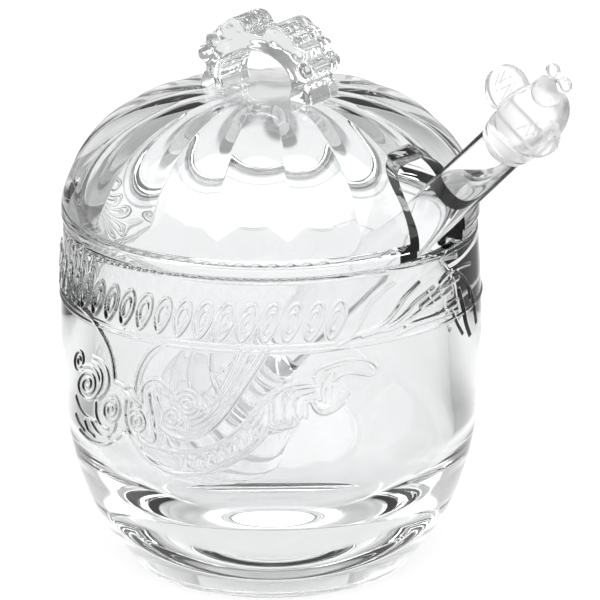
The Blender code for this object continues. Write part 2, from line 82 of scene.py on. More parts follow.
# Lid, as in the CAD
SEAT = 83.3
FLANGE_HEIGHT = 2.6
EQUATOR = 87.0
DOME_RADIUS = 49.4
DOME_HEIGHT = 28.1
DOME_SIDE_POWER = 3.2
DOME_CROWN_POWER = 1.67
LID_WALL = 3.8
LID_TURN = 55.0
LOBES = 18
LOBE_DEPTH = 0.65
LOBE_START = 12.0
LOBE_FADE = 22.0
LOBE_FOOT = 2.0
LOBE_FOOT_FADE = 7.0
LID_STEPS = 720
NOTCH_HALF = 9.6
NOTCH_FOOT = -5.0
NOTCH_SPRING = 12.7
NOTCH_ARCH = 8.1
NOTCH_REACH = 50
NOTCH_PLACE = 49

# Handle, in its own frame: across, up from the crown. A roll is its height, its distance out and its radius
HANDLE_THICKNESS = 11.6
HANDLE_OUTER = (15.0, 14.4)
HANDLE_INNER = (10.0, 7.6)
HANDLE_SPRING = 2.5
HANDLE_FOOT = 16.0
HANDLE_FOOT_HEIGHT = 0.8
HANDLE_FOOT_INNER = 9.2
HANDLE_START = 4.2
HANDLE_SINK = -3.0
HANDLE_ROLLS = ((7.4, 14.4, 2.3), (10.8, 12.2, 2.2), (13.1, 9.4, 2.1), (13.7, 5.9, 3.6))
RIB_OFFSETS = (1.0, 2.6)
CURL_START = 0.4
CURL_SWEEP = 2.2 * math.pi
BEAD_FACES = (-5.6, 5.6)
BEAD_RADIUS = 0.6
HANDLE_VOXEL = 0.3
HANDLE_SMOOTHING = 30

# Dipper, as in the CAD
DIPPER_TURN = 52.0
DIPPER_TILT = 44.3
DIPPER_END = (-21.593, 16.870, 20.035)
DIPPER_LENGTH = 132.7
SHAFT_RADIUS = 5.7
HEAD_LENGTH = 40.0
HEAD_RADIUS = 16.8
HEAD_END_RADIUS = 10.8
HEAD_CORE = 5.5
COLLAR_LENGTH = 6.0
COLLAR_RADIUS = 6.6
HEAD_DISCS = 6
SLOT_SHARE = 0.42
JOINT_GAP = 0.3
COLLAR_BEAD = 0.9
COLLAR_HALF = 1.6
SHAFT_EDGE = 0.4

# Bee, as in the CAD, in its own frame: +Z along the body, +Y up and back, its face towards -X
BEE_LENGTH = 21.2
BARREL_RADIUS = 7.3
NECK_RADIUS = 6.0
BARREL_HEIGHT = 8.5
BARREL_POWER = 2.8
RINGS = (2.4, 6.4)
BEE_HEAD = Vector((-3.0, 1.5, 21.2))
BEE_HEAD_RADIUS = 3.7
WING_RADIUS = 5.8
WING_THICKNESS = 2.6
WING_PLACE = Vector((-2.9, 2.1, 12.2))
WING_SPREAD = 5.9
ANTENNA_RADIUS = 1.8
ANTENNA_LEAN = 4.5
ANTENNA_SPREAD = 24.0
ANTENNA_TURN = 10.0
ANTENNA_SINK = 0.4
EYE_RADIUS = 0.95
EYE_SPREAD = 2.2
EYE_SINK = 0.55
EYE_RISE = 0.4
RING_DEPTH = 0.4
RING_HALF = 0.35
VEIN_RADIUS = 0.16
COIN_EDGE = 0.5
ROD_STEPS = 128
BALL_STEPS = 96

# Picture geometry: how the photograph sees the pot
VIEW_TILT = math.radians(17.85)
VIEW_DISTANCE = 1400.0
VIEW_SCALE = 4.22
VIEW_CENTRE = (271.2, 303.1)
VIEW_ROLL = math.radians(0.5)
VIEW_HEIGHT = 62.0
PICTURE = 600

# Floor, in metres: the half width and half depth of its glowing field, a painted pool of light that makes it
# white, each with its outer edge and the glow there
FLOOR_SIZE = 12
FLOOR_DROP = 0.0002
FLOOR_GLOW = 0.82
GLOW_FIELD_ACROSS = (0.085, 0.17, 1.0, 0.16)
GLOW_FIELD_MIDDLE = 0.24
GLOW_FIELD_ALONG = (0.42, 0.7, 1.0, 0.3)

# Studio: each row is where a change starts and ends, and the light before and after it
SKY = (0.15, 0.6, 0.22, 0.5)
BACKDROP_TURN = (0.3, 0.95, 0.0, 1.0)
BACKDROP_RISE = (0.1, 0.45, 0.6, 0.0)
SKY_SIDES = (0.45, 0.95, 0.0, 0.3)

# Softboxes: turn and lift of the middle, half width, half height, edge softness, light
SOFTBOXES = (
    (-5, 66, 1.0, 0.66, 0.03, 3.4),
    (-100, 22, 0.30, 0.45, 0.05, 1.2),
    (95, 22, 0.30, 0.45, 0.05, 1.2),
)


def jar_outer(z):
    if z < WIDEST:
        fall = (WIDEST - z) / LOWER_REACH
        return JAR_RADIUS * (1 - fall**LOWER_POWER) ** (1 / SIDE_POWER)
    rise = (z - WIDEST) / (JAR_HEIGHT - WIDEST)
    return JAR_RADIUS - (JAR_RADIUS - RIM_RADIUS) * rise**2


def jar_inner(z):
    if z < BOWL_HEIGHT:
        share = (BOWL_HEIGHT - z) / (BOWL_HEIGHT - FLOOR)
        return BOWL_RADIUS * math.sqrt(max(1 - share**2, 0.0))
    rise = (z - BOWL_HEIGHT) / (JAR_HEIGHT - BOWL_HEIGHT)
    return BOWL_RADIUS + (RIM_RADIUS - WALL - BOWL_RADIUS) * rise**2


def arc(r, z, radius, start, end, count):
    angles = [math.radians(start + (end - start) * k / count) for k in range(count + 1)]
    return [(r + radius * math.cos(a), z + radius * math.sin(a)) for a in angles]


def spaced(low, high, step):
    count = max(int(round(abs(high - low) / step)), 1)
    return [low + (high - low) * k / count for k in range(count + 1)]


def sight(px, py):
    """Start and direction of the line of sight through a point of the picture."""
    u, v = px - PICTURE / 2, py - PICTURE / 2
    px = PICTURE / 2 + u * math.cos(VIEW_ROLL) - v * math.sin(VIEW_ROLL)
    py = PICTURE / 2 + u * math.sin(VIEW_ROLL) + v * math.cos(VIEW_ROLL)
    focal = VIEW_SCALE * VIEW_DISTANCE
    forward = Vector((0, math.cos(VIEW_TILT), -math.sin(VIEW_TILT)))
    up = Vector((0, math.sin(VIEW_TILT), math.cos(VIEW_TILT)))
    eye = Vector((0, 0, VIEW_HEIGHT)) - VIEW_DISTANCE * forward
    ray = forward + Vector((1, 0, 0)) * (px - VIEW_CENTRE[0]) / focal - up * (py - VIEW_CENTRE[1]) / focal
    return eye, ray.normalized()


def seen_on_jar(px, py):
    """(degrees round, height) of the spot on the jar's outer face at this point of the picture."""
    eye, ray = sight(px, py)
    near = VIEW_DISTANCE - 1.3 * JAR_RADIUS
    place = eye + near * ray
    for step in range(500):
        place = eye + (near + step * 0.25) * ray
        if math.hypot(place.x, place.y) <= jar_outer(min(max(place.z, 0.0), JAR_HEIGHT)):
            break
    return math.degrees(math.atan2(place.x, -place.y)), place.z


def smooth_path(points, spacing):
    """A Catmull-Rom curve through the points, as many short steps."""
    if len(points) < 3:
        return np.array(points, float)
    pts = np.array([points[0]] + list(points) + [points[-1]], float)
    out = []
    for k in range(1, len(pts) - 2):
        p0, p1, p2, p3 = pts[k - 1 : k + 3]
        count = max(int(np.linalg.norm(p2 - p1) / spacing), 2)
        t = np.linspace(0, 1, count, endpoint=False)[:, None]
        out.append(
            0.5
            * (
                2 * p1
                + (p2 - p0) * t
                + (2 * p0 - 5 * p1 + 4 * p2 - p3) * t**2
                + (3 * p1 - p0 - 3 * p2 + p3) * t**3
            )
        )
    out.append(pts[-2:-1])
    return np.concatenate(out)


class Relief:
    """Height of the jar's relief over a grid of directions and heights, in millimetres."""

    def __init__(self, steps, rows):
        self.rows = np.array(rows)
        self.steps = steps
        self.round = np.arange(steps) * 360 / steps
        self.height = np.zeros((len(rows), steps))

    def stroke(self, path, half, height):
        """A rounded ridge along a path of (degrees, height) points."""
        around = math.radians(1) * JAR_RADIUS
        for start, end in zip(path[:-1], path[1:]):
            low = np.searchsorted(self.rows, min(start[1], end[1]) - half)
            high = np.searchsorted(self.rows, max(start[1], end[1]) + half)
            first = math.floor((min(start[0], end[0]) - half / around) * self.steps / 360)
            last = math.ceil((max(start[0], end[0]) + half / around) * self.steps / 360) + 1
            if low >= high:
                continue
            columns = np.arange(first, last)
            u = (columns * 360 / self.steps - start[0]) * around
            z = self.rows[low:high, None] - start[1]
            du, dz = (end[0] - start[0]) * around, end[1] - start[1]
            length = du * du + dz * dz
            along = np.clip((u[None] * du + z * dz) / length, 0, 1) if length > 0 else 0
            away = np.hypot(u[None] - along * du, z - along * dz) / half
            bump = height * (1 - np.clip(away, 0, 1) ** 2) ** 2
            columns = columns % self.steps
            patch = self.height[low:high][:, columns]
            self.height[low:high, columns] = np.maximum(patch, bump)


def spiral(cx, cy, rx, ry, turns, start, tilt=0.0, inner=0.12):
    """A spiral in the picture, from its outer end inwards. Angles in degrees."""
    points = []
    count = int(turns * 10)
    for k in range(count + 1):
        share = 1 - (1 - inner) * k / count
        angle = math.radians(start + 360 * turns * k / count)
        x, y = rx * share * math.cos(angle), ry * share * math.sin(angle)
        lean = math.radians(tilt)
        turned = (x * math.cos(lean) - y * math.sin(lean), x * math.sin(lean) + y * math.cos(lean))
        points.append((cx + turned[0], cy + turned[1]))
    return points


def picture_strokes():
    """The jar's scrollwork: points in the picture, then half width and height in millimetres."""
    thin, line, bold = (0.42, 0.28), (0.55, 0.40), (0.75, 0.55)
    strokes = []

    def add(kind, *points):
        strokes.append((points, *kind))

    # Arcs that hang from the band, and the knot where they meet
    add(bold, (78, 304), (90, 315), (100, 330), (108, 346), (113, 362), (115, 381))
    add(line, (170, 342), (158, 345), (148, 353), (140, 367), (136, 380), (135, 392), (139, 399))
    add(thin, (170, 344), (160, 349), (151, 357), (144, 369), (140, 381), (139, 391))
    add(bold, (114, 381), (120, 383), (125, 387), (131, 385), (135, 388))
    add(bold, (124, 390), (130, 397), (136, 402), (140, 406))
    # Scrolls of the knot
    add(line, *spiral(111, 409, 10, 15, 2.4, -100))
    add(line, *spiral(88, 384, 13, 19, 2.6, -110))
    add(line, *spiral(80, 360, 6, 13, 1.8, 60))
    add(line, *spiral(137, 421, 9, 13, 2.2, -120, -20))
    add(line, *spiral(172, 417, 13, 13, 2.5, -80))
    add(line, *spiral(187, 403, 15, 14, 2.6, 150, 20))
    add(line, (93, 357), (101, 360), (107, 369), (109, 382), (105, 392), (98, 398))
    add(line, (92, 362), (98, 366), (102, 374), (101, 386), (95, 396))
    add(line, (142, 402), (142, 388), (149, 380), (159, 380), (169, 388), (177, 398))
    add(thin, (145, 398), (147, 387), (154, 384), (163, 388), (171, 397))
    add(bold, (149, 393), (150, 405), (153, 420), (155, 438))
    add(line, (156, 396), (159, 405), (161, 415), (160, 430))
    add(line, (162, 393), (168, 395), (173, 401))
    add(line, (155, 439), (151, 442), (145, 438))
    add(line, (126, 399), (125, 412), (127, 426), (133, 438), (141, 447))
    add(line, (131, 401), (130, 412), (131, 420))
    add(line, (137, 429), (143, 436), (150, 438))
    add(line, (139, 437), (146, 444), (156, 447), (168, 451))
    add(thin, (146, 449), (155, 455), (167, 458))
    # Leaves below the left scrolls
    add(line, (76, 396), (80, 408), (87, 417), (96, 421))
    add(line, (76, 414), (79, 422), (84, 430))
    add(line, (85, 421), (88, 430), (94, 436))
    add(line, (91, 421), (96, 430), (102, 436), (110, 440))
    add(line, (96, 402), (96, 415), (101, 425), (108, 429))
    add(line, (116, 424), (113, 431), (107, 437))
    add(line, (80, 430), (90, 440), (104, 444), (117, 438), (127, 428))
    # Swag: its outline, and the arches along it
    add(bold, (127, 427), (134, 441), (146, 456), (159, 466), (172, 472), (188, 474), (205, 473))
    add(bold, (205, 473), (218, 468), (232, 461), (246, 452), (258, 442), (265, 430), (268, 416), (268, 405))
    add(line, (163, 433), (160, 446), (169, 450), (183, 452), (200, 451), (216, 446), (231, 438), (243, 427))
    add(line, (243, 427), (254, 414), (267, 400), (280, 391), (296, 384), (312, 380))
    add(thin, (250, 430), (258, 420), (265, 408))
    add(thin, (253, 436), (261, 426), (266, 415))
    leaning = ((176, 462, 3), (189, 463, 1), (201, 462, -1), (212, 458, -3), (221, 454, -4), (230, 449, -5))
    for x, y, lean in leaning:
        top = x - lean / 2
        add(line, (x - 5, y + 4), (top - 4, y - 3), (top, y - 6), (top + 5, y - 3), (x + 5, y + 4))
    for x, y in ((239, 442), (248, 434)):
        add(line, (x - 3, y + 8), (x - 4, y - 2), (x - 1, y - 7), (x + 3, y - 2), (x + 5, y + 6))
    add(thin, (160, 461), (171, 467), (183, 469))
    # Drapery that crosses behind the dipper
    add(line, (241, 350), (234, 368), (225, 386), (213, 403), (201, 415), (190, 419))
    add(line, (247, 350), (239, 369), (229, 389), (216, 408), (203, 420), (191, 425))
    add(thin, (255, 352), (246, 366), (234, 386), (220, 405))
    add(line, (263, 350), (250, 369), (237, 389), (223, 409), (208, 423), (195, 430), (180, 431))
    add(bold, (268, 350), (255, 370), (241, 391), (227, 411), (211, 428), (196, 436), (182, 438), (170, 434),
        (162, 428))
    add(line, (207, 398), (210, 405), (207, 413))
    add(line, (162, 422), (170, 428), (180, 429))
    # Folded fingers
    for x, top, bottom, side in ((276, 397, 423, 386), (287, 402, 422, 391), (298, 406, 418, 396)):
        add(line, (x - 4, top), (x - 4, bottom - 3), (x, bottom + 1), (x + 4, bottom - 3), (x + 5, top + 1),
            (x + 12, side + 4), (314 - (x - 276) * 0.1, side))
    add(line, (270, 402), (274, 393), (287, 387), (302, 384), (313, 383))
    add(line, (305, 401), (306, 409), (306, 417))
    add(bold, (268, 408), (269, 424), (278, 428), (291, 426), (297, 422))
    # Shell and ribbon
    add(line, (312, 380), (316, 387), (318, 394), (313, 399))
    add(bold, (311, 399), (315, 408), (322, 413), (333, 410), (343, 402), (348, 393))
    add(line, (320, 400), (320, 388), (325, 377), (333, 371), (331, 381))
    add(thin, (325, 402), (324, 391), (328, 383))
    add(thin, (331, 403), (331, 392), (331, 384))
    add(thin, (337, 402), (338, 392), (337, 384))
    add(thin, (343, 397), (344, 389), (342, 383))
    add(line, (311, 378), (317, 370), (328, 365), (343, 360), (358, 359), (370, 361), (377, 367), (375, 373),
        (368, 375))
    add(line, (368, 375), (355, 373), (343, 374), (334, 380))
    add(thin, (324, 370), (334, 366), (350, 363), (366, 364), (373, 369))
    add(thin, (349, 377), (360, 379), (371, 379))
    add(thin, (352, 390), (364, 387), (372, 380))
    add(thin, (344, 342), (353, 351), (361, 359))
    add(thin, (347, 343), (356, 350), (365, 359))
    # Leaves that rise to the right, out of the band
    add(line, (338, 346), (351, 337), (359, 324), (367, 308), (377, 294), (393, 283))
    add(thin, (352, 334), (362, 319), (371, 303), (382, 292))
    add(bold, (352, 337), (371, 330), (386, 321), (397, 309), (405, 297), (419, 283))
    add(bold, (362, 336), (382, 329), (397, 321), (408, 311), (417, 301), (434, 288))
    add(line, (378, 332), (394, 328), (407, 321), (420, 311), (437, 300), (452, 288))
    add(line, (346, 345), (369, 341), (395, 335), (414, 326), (434, 319), (458, 309))
    add(bold, (405, 326), (420, 321), (437, 315), (456, 303))
    add(bold, (421, 306), (431, 298), (444, 287), (458, 277))
    add(line, (455, 270), (463, 277), (468, 286), (470, 298))
    add(line, (440, 282), (450, 272), (461, 266), (470, 263))
    add(bold, (459, 290), (463, 305), (466, 322), (470, 334))
    add(line, (470, 288), (474, 305), (476, 322))
    add(line, (452, 310), (457, 322), (463, 333))
    return strokes


def jar_relief(rows):
    relief = Relief(JAR_STEPS, rows)
    for points, half, height in picture_strokes():
        path = smooth_path([seen_on_jar(x, y) for x, y in points], spacing=0.8)
        relief.stroke(path, half, height)
    # Row of leaning double loops over the band's line. It ends where the leaves rise out of the line.
    around = math.radians(1) * JAR_RADIUS
    for k in LOOPS:
        centre = LOOP_START + LOOP_PITCH * k
        for scale, half in LOOP_LINES:
            loop = []
            for step in range(25):
                angle = math.tau * step / 24
                pinch = 1 + LOOP_PINCH * min(math.sin(angle), 0.0)
                x = LOOP_HALF_WIDTH * scale * math.cos(angle) * pinch
                z = LOOP_HALF_LENGTH * scale * math.sin(angle)
                loop.append((centre + (x + LOOP_LEAN * z) / around, LOOP_MIDDLE + z))
            relief.stroke(np.array(loop), half, LOOP_HEIGHT)
    for z, first, last in BAND_LINES:
        line = np.array([(a, z) for a in range(first, last)], float)
        relief.stroke(line, BAND_LINE_HALF, BAND_LINE_HEIGHT)
    return relief.height


def lathe(name, rows, steps, heights=None):
    """A turned mesh from (r, z) rows in millimetres, from the axis to the axis. heights are added to r."""
    angles = np.arange(steps) * math.tau / steps
    sine, cosine = np.sin(angles), -np.cos(angles)
    points, rings = [], []
    count = 0
    for index, (r, z) in enumerate(rows):
        if r < 1e-6:
            points.append(np.array([[0, 0, z]]))
            rings.append(np.full(steps, count))
            count += 1
            continue
        radius = r + (heights[index] if heights is not None and heights[index] is not None else 0)
        points.append(np.stack([sine * radius, cosine * radius, np.full(steps, z)], 1))
        rings.append(np.arange(count, count + steps))
        count += steps
    faces = []
    for upper, lower in zip(rings[:-1], rings[1:]):
        a, b = upper, np.roll(upper, -1)
        c, d = np.roll(lower, -1), lower
        if upper[0] == upper[1]:
            faces += np.stack([a, c, d], 1).tolist()
        elif lower[0] == lower[1]:
            faces += np.stack([a, b, d], 1).tolist()
        else:
            faces += np.stack([a, b, c, d], 1).tolist()
    mesh = bpy.data.meshes.new(name)
    mesh.from_pydata((np.concatenate(points) * MM).tolist(), [], faces)
    obj = bpy.data.objects.new(name, mesh)
    bpy.context.scene.collection.objects.link(obj)
    shape = bmesh.new()
    shape.from_mesh(mesh)
    bmesh.ops.recalc_face_normals(shape, faces=shape.faces)
    shape.to_mesh(mesh)
    shape.free()
    mesh.shade_smooth()
    return obj


def clear(name, colour, roughness, ior, through=1.0):
    material = bpy.data.materials.new(name)
    material.use_nodes = True
    shader = material.node_tree.nodes["Principled BSDF"]
    shader.inputs["Base Color"].default_value = (*colour, 1)
    shader.inputs["Roughness"].default_value = roughness
    shader.inputs["IOR"].default_value = ior
    shader.inputs["Transmission Weight"].default_value = through
    material.diffuse_color = (*colour, 0.4)
    return material


GLASS = clear("pot_glass", (0.895, 0.902, 0.905), 0.0, 1.5)
LID_GLASS = clear("lid_glass", (0.92, 0.927, 0.93), 0.0, 1.5)
HANDLE_GLASS = clear("handle_glass", (0.74, 0.746, 0.75), 0.0, 1.5)
ACRYLIC = clear("shaft_acrylic", (0.98, 0.98, 0.985), 0.05, 1.22)
FROSTED = clear("frosted_acrylic", (0.985, 0.985, 0.99), 0.22, 1.25, 0.9)


def dress(obj, material, body, node):
    obj.data.materials.clear()
    obj.data.materials.append(material)
    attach(obj, body)
    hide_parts(node)
    return obj


def make_jar():
    rows = []
    for angle in range(0, 90, 3):
        bowl = math.radians(angle)
        rows.append((BOWL_RADIUS * math.sin(bowl), BOWL_HEIGHT - (BOWL_HEIGHT - FLOOR) * math.cos(bowl)))
    rows += [(jar_inner(z), z) for z in spaced(BOWL_HEIGHT, JAR_HEIGHT - RIM_ROUND, 3.0)[:-1]]
    inner_rim = jar_inner(JAR_HEIGHT)
    top = JAR_HEIGHT - RIM_ROUND
    rows += arc(inner_rim + RIM_ROUND, top, RIM_ROUND, 180, 90, 6)
    rows += arc(RIM_RADIUS - RIM_ROUND, top, RIM_ROUND, 90, 0, 6)
    relief_rows = spaced(RELIEF_LOW, RELIEF_HIGH, RELIEF_ROW)
    relief = jar_relief(relief_rows)
    heights = [None] * len(rows)
    for index in reversed(range(len(relief_rows))):
        z = relief_rows[index]
        rows.append((jar_outer(z) - SKIN, z))
        heights.append(relief[index])
    for z in spaced(RELIEF_LOW - 1.0, 1.0, 1.0):
        rows.append((jar_outer(z) - SKIN * min(z / RELIEF_LOW, 1), z))
        heights.append(None)
    foot = jar_outer(1.0)
    tail = [(foot - 0.15, 0.45)] + [((foot - FOOT_ROUND) * k / 6, 0.0) for k in range(6, -1, -1)]
    rows += tail
    heights += [None] * len(tail)
    return dress(lathe("jar_glass", rows, JAR_STEPS, heights), GLASS, "pot", "jar")


def dome_points(radius, height, count):
    points = []
    for step in range(count + 1):
        angle = math.radians(90 * (1 - step / count))
        r = radius * math.cos(angle) ** (2 / DOME_SIDE_POWER)
        points.append((0.0 if step == 0 else r, EQUATOR + height * math.sin(angle) ** (2 / DOME_CROWN_POWER)))
    return points


def make_lid():
    rows = dome_points(DOME_RADIUS, DOME_HEIGHT, 72)
    outer = len(rows)
    rows += arc(48.9, SEAT + FLANGE_HEIGHT, 0.5, 20, -10, 2)
    rows += [(48.8, SEAT + FLANGE_HEIGHT)]
    rows += arc(48.0, SEAT + 0.8, 0.8, 0, -90, 5)
    lip = jar_inner(JAR_HEIGHT) - 0.7
    rows += [(lip + 0.1, SEAT), (lip, SEAT - 0.3), (lip - 0.2, SEAT - 1.8)]
    rows += arc(lip - 0.8, SEAT - 1.8, 0.6, 0, -90, 4)
    rows += arc(lip - 1.8, SEAT - 1.8, 0.6, -90, -180, 4)
    rows += [(lip - 2.4, SEAT + FLANGE_HEIGHT / 2)]
    rows += dome_points(DOME_RADIUS - LID_WALL, DOME_HEIGHT - LID_WALL, 40)[::-1]
    lid = lathe("lid_glass", rows, LID_STEPS)
    places = np.empty(len(lid.data.vertices) * 3)
    lid.data.vertices.foreach_get("co", places)
    places = places.reshape(-1, 3)
    ring = places[: 1 + (outer - 1) * LID_STEPS]
    r = np.hypot(ring[:, 0], ring[:, 1]) / MM
    z = ring[:, 2] / MM
    around = np.arctan2(ring[:, 0], -ring[:, 1])
    crease = 1 - np.abs(np.cos(LOBES * around / 2))
    crown = np.clip((r - LOBE_START) / LOBE_FADE, 0, 1)
    foot = np.clip((z - EQUATOR - LOBE_FOOT) / LOBE_FOOT_FADE, 0, 1)
    strength = crown * crown * (3 - 2 * crown) * foot * foot * (3 - 2 * foot)
    depth = LOBE_DEPTH * crease * strength
    scale = 1 - depth / np.maximum(r, 1)
    ring[:, 0] *= scale
    ring[:, 1] *= scale
    ring[:, 2] -= depth * (z - EQUATOR) / DOME_HEIGHT * MM
    lid.data.vertices.foreach_set("co", places.reshape(-1))
    turn = Matrix.Rotation(math.radians(LID_TURN), 4, "Z")
    lid.data.transform(turn)
    cut_notch(lid)
    return dress(lid, LID_GLASS, "lid", "lid_dome")


def slab(name, outline, thickness):
    """A flat outline of (x, y) points in millimetres as a closed slab, centred on its own XY plane."""
    curve = bpy.data.curves.new(name, "CURVE")
    curve.dimensions = "2D"
    curve.fill_mode = "BOTH"
    curve.extrude = thickness / 2 * MM
    spline = curve.splines.new("POLY")
    spline.points.add(len(outline) - 1)
    for point, (x, y) in zip(spline.points, outline):
        point.co = (x * MM, y * MM, 0, 1)
    spline.use_cyclic_u = True
    guide = bpy.data.objects.new(name + "_guide", curve)
    bpy.context.scene.collection.objects.link(guide)
    mesh = bpy.data.meshes.new_from_object(guide.evaluated_get(bpy.context.evaluated_depsgraph_get()))
    bpy.data.objects.remove(guide)
    shape = bmesh.new()
    shape.from_mesh(mesh)
    bmesh.ops.remove_doubles(shape, verts=shape.verts, dist=1e-6)
    bmesh.ops.recalc_face_normals(shape, faces=shape.faces)
    shape.to_mesh(mesh)
    shape.free()
    obj = bpy.data.objects.new(name, mesh)
    bpy.context.scene.collection.objects.link(obj)
    return obj


def bake(obj):
    """The object's mesh with its modifiers applied."""
    mesh = bpy.data.meshes.new_from_object(obj.evaluated_get(bpy.context.evaluated_depsgraph_get()))
    obj.modifiers.clear()
    obj.data = mesh
    return obj


def cut_notch(lid):
    outline = [(-NOTCH_HALF, NOTCH_FOOT), (NOTCH_HALF, NOTCH_FOOT)]
    for step in range(41):
        angle = math.pi * step / 40
        side = 1 if angle < math.pi / 2 else -1
        x = side * NOTCH_HALF * abs(math.cos(angle)) ** (2 / 3)
        outline.append((x, NOTCH_SPRING + NOTCH_ARCH * math.sin(angle) ** (2 / 3)))
    cutter = slab("notch", outline, NOTCH_REACH)
    turn = math.radians(LID_TURN)
    cutter.rotation_euler = (math.radians(90), 0, turn)
    cutter.location = (NOTCH_PLACE * MM * math.sin(turn), -NOTCH_PLACE * MM * math.cos(turn), SEAT * MM)
    cut_with(lid, cutter)
    lid.data.shade_smooth()
    lid.data.set_sharp_from_angle(angle=math.radians(38))


def roll_reach(angle, roll):
    height, out, radius = roll
    along = out * math.cos(angle) + height * math.sin(angle)
    square = radius**2 - (out**2 + height**2 - along**2)
    return along + math.sqrt(square) if square > 0 and along > 0 else 0.0


def inner_arch(angle, offset):
    """A point of the handle's inner arch, or of a line this far outside it."""
    half_width, rise = HANDLE_INNER
    across = (half_width + offset) * math.cos(angle)
    return across, HANDLE_SPRING + (rise + offset * 0.75) * math.sin(angle)


def handle_outline():
    half_width, height = HANDLE_OUTER
    start = math.atan2(HANDLE_START, half_width)
    right = [(HANDLE_FOOT, HANDLE_SINK), (HANDLE_FOOT, HANDLE_FOOT_HEIGHT)]
    for step in range(91):
        angle = start + (math.pi / 2 - start) * step / 90
        band = 1 / math.hypot(math.cos(angle) / half_width, math.sin(angle) / height)
        reach = max([band] + [roll_reach(angle, roll) for roll in HANDLE_ROLLS])
        right.append((reach * math.cos(angle), reach * math.sin(angle)))
    outline = right + [(-x, y) for x, y in right[-2::-1]]
    outline += [(-HANDLE_FOOT_INNER, HANDLE_SINK), (-HANDLE_FOOT_INNER, 0.0)]
    for step in range(41):
        angle = math.pi * (1 - step / 40)
        outline.append(inner_arch(angle, 0.0))
    outline += [(HANDLE_FOOT_INNER, 0.0), (HANDLE_FOOT_INNER, HANDLE_SINK)]
    return outline


def tube(points, radius):
    """A round bead along 3-D points in millimetres, as a mesh."""
    curve = bpy.data.curves.new("bead", "CURVE")
    curve.dimensions = "3D"
    curve.bevel_depth = radius * MM
    curve.bevel_resolution = 2
    curve.use_fill_caps = True
    spline = curve.splines.new("POLY")
    spline.points.add(len(points) - 1)
    for point, (x, y, z) in zip(spline.points, points):
        point.co = (x * MM, y * MM, z * MM, 1)
    guide = bpy.data.objects.new("bead", curve)
    bpy.context.scene.collection.objects.link(guide)
    mesh = bpy.data.meshes.new_from_object(guide.evaluated_get(bpy.context.evaluated_depsgraph_get()))
    bpy.data.objects.remove(guide)
    return mesh


def joined(obj, meshes):
    shape = bmesh.new()
    shape.from_mesh(obj.data)
    for mesh in meshes:
        shape.from_mesh(mesh)
    shape.to_mesh(obj.data)
    shape.free()
    return obj


def handle_beads():
    """The carved lines on both faces of the handle: a double rib along the arch and a curl in each roll."""
    angles = np.linspace(0.05, math.pi - 0.05, 40)
    lines = [[inner_arch(a, offset) for a in angles] for offset in RIB_OFFSETS]
    for height, out, radius in HANDLE_ROLLS:
        for side in (-1, 1):
            curl = []
            for a in np.linspace(CURL_START, CURL_START + CURL_SWEEP, 24):
                reach = radius * 0.72 * (1 - 0.75 * (a - CURL_START) / CURL_SWEEP)
                curl.append((side * (out + reach * math.cos(a)), height + reach * math.sin(a)))
            lines.append(curl)
    return [tube([(x, y, face) for x, y in line], BEAD_RADIUS) for line in lines for face in BEAD_FACES]


def make_handle():
    handle = joined(slab("handle_glass", handle_outline(), HANDLE_THICKNESS), handle_beads())
    remesh = handle.modifiers.new("whole", "REMESH")
    remesh.mode = "VOXEL"
    remesh.voxel_size = HANDLE_VOXEL * MM
    remesh.use_smooth_shade = True
    soften = handle.modifiers.new("soft", "SMOOTH")
    soften.factor = 0.5
    soften.iterations = HANDLE_SMOOTHING
    bake(handle)
    turn = Matrix.Rotation(math.radians(LID_TURN - 90), 4, "Z") @ Matrix.Rotation(math.radians(90), 4, "X")
    handle.data.transform(Matrix.Translation((0, 0, (EQUATOR + DOME_HEIGHT) * MM)) @ turn)
    crown = dome_points(DOME_RADIUS + 0.05, DOME_HEIGHT + 0.05, 60) + [(0.0, EQUATOR)]
    cut_with(handle, lathe("crown", crown, 180))
    handle.data.shade_smooth()
    handle.data.set_sharp_from_angle(angle=math.radians(50))
    return dress(handle, HANDLE_GLASS, "lid", "lid_handle")


def cut_with(obj, *cutters, operation="DIFFERENCE"):
    for cutter in cutters:
        modifier = obj.modifiers.new("cut", "BOOLEAN")
        modifier.operation = operation
        modifier.object = cutter
    bpy.context.view_layer.update()
    bake(obj)
    for cutter in cutters:
        bpy.data.objects.remove(cutter)
    return obj


def dipper_frame(along):
    """Matrix of the dipper's frame, this far from its far end, in metres."""
    turn = Matrix.Rotation(math.radians(DIPPER_TURN), 4, "Z")
    lean = Matrix.Rotation(math.radians(90 - DIPPER_TILT), 4, "X")
    return Matrix.Translation(Vector(DIPPER_END) * MM) @ turn @ lean @ Matrix.Translation((0, 0, along * MM))


def finished(obj, frame_matrix, slot, material):
    """A piece of the dipper, put in its place. Its slot has the name of the node that it replaces."""
    obj.data.transform(frame_matrix)
    obj.data.shade_smooth()
    obj.data.set_sharp_from_angle(angle=math.radians(40))
    return dress(obj, material, "dipper", slot)


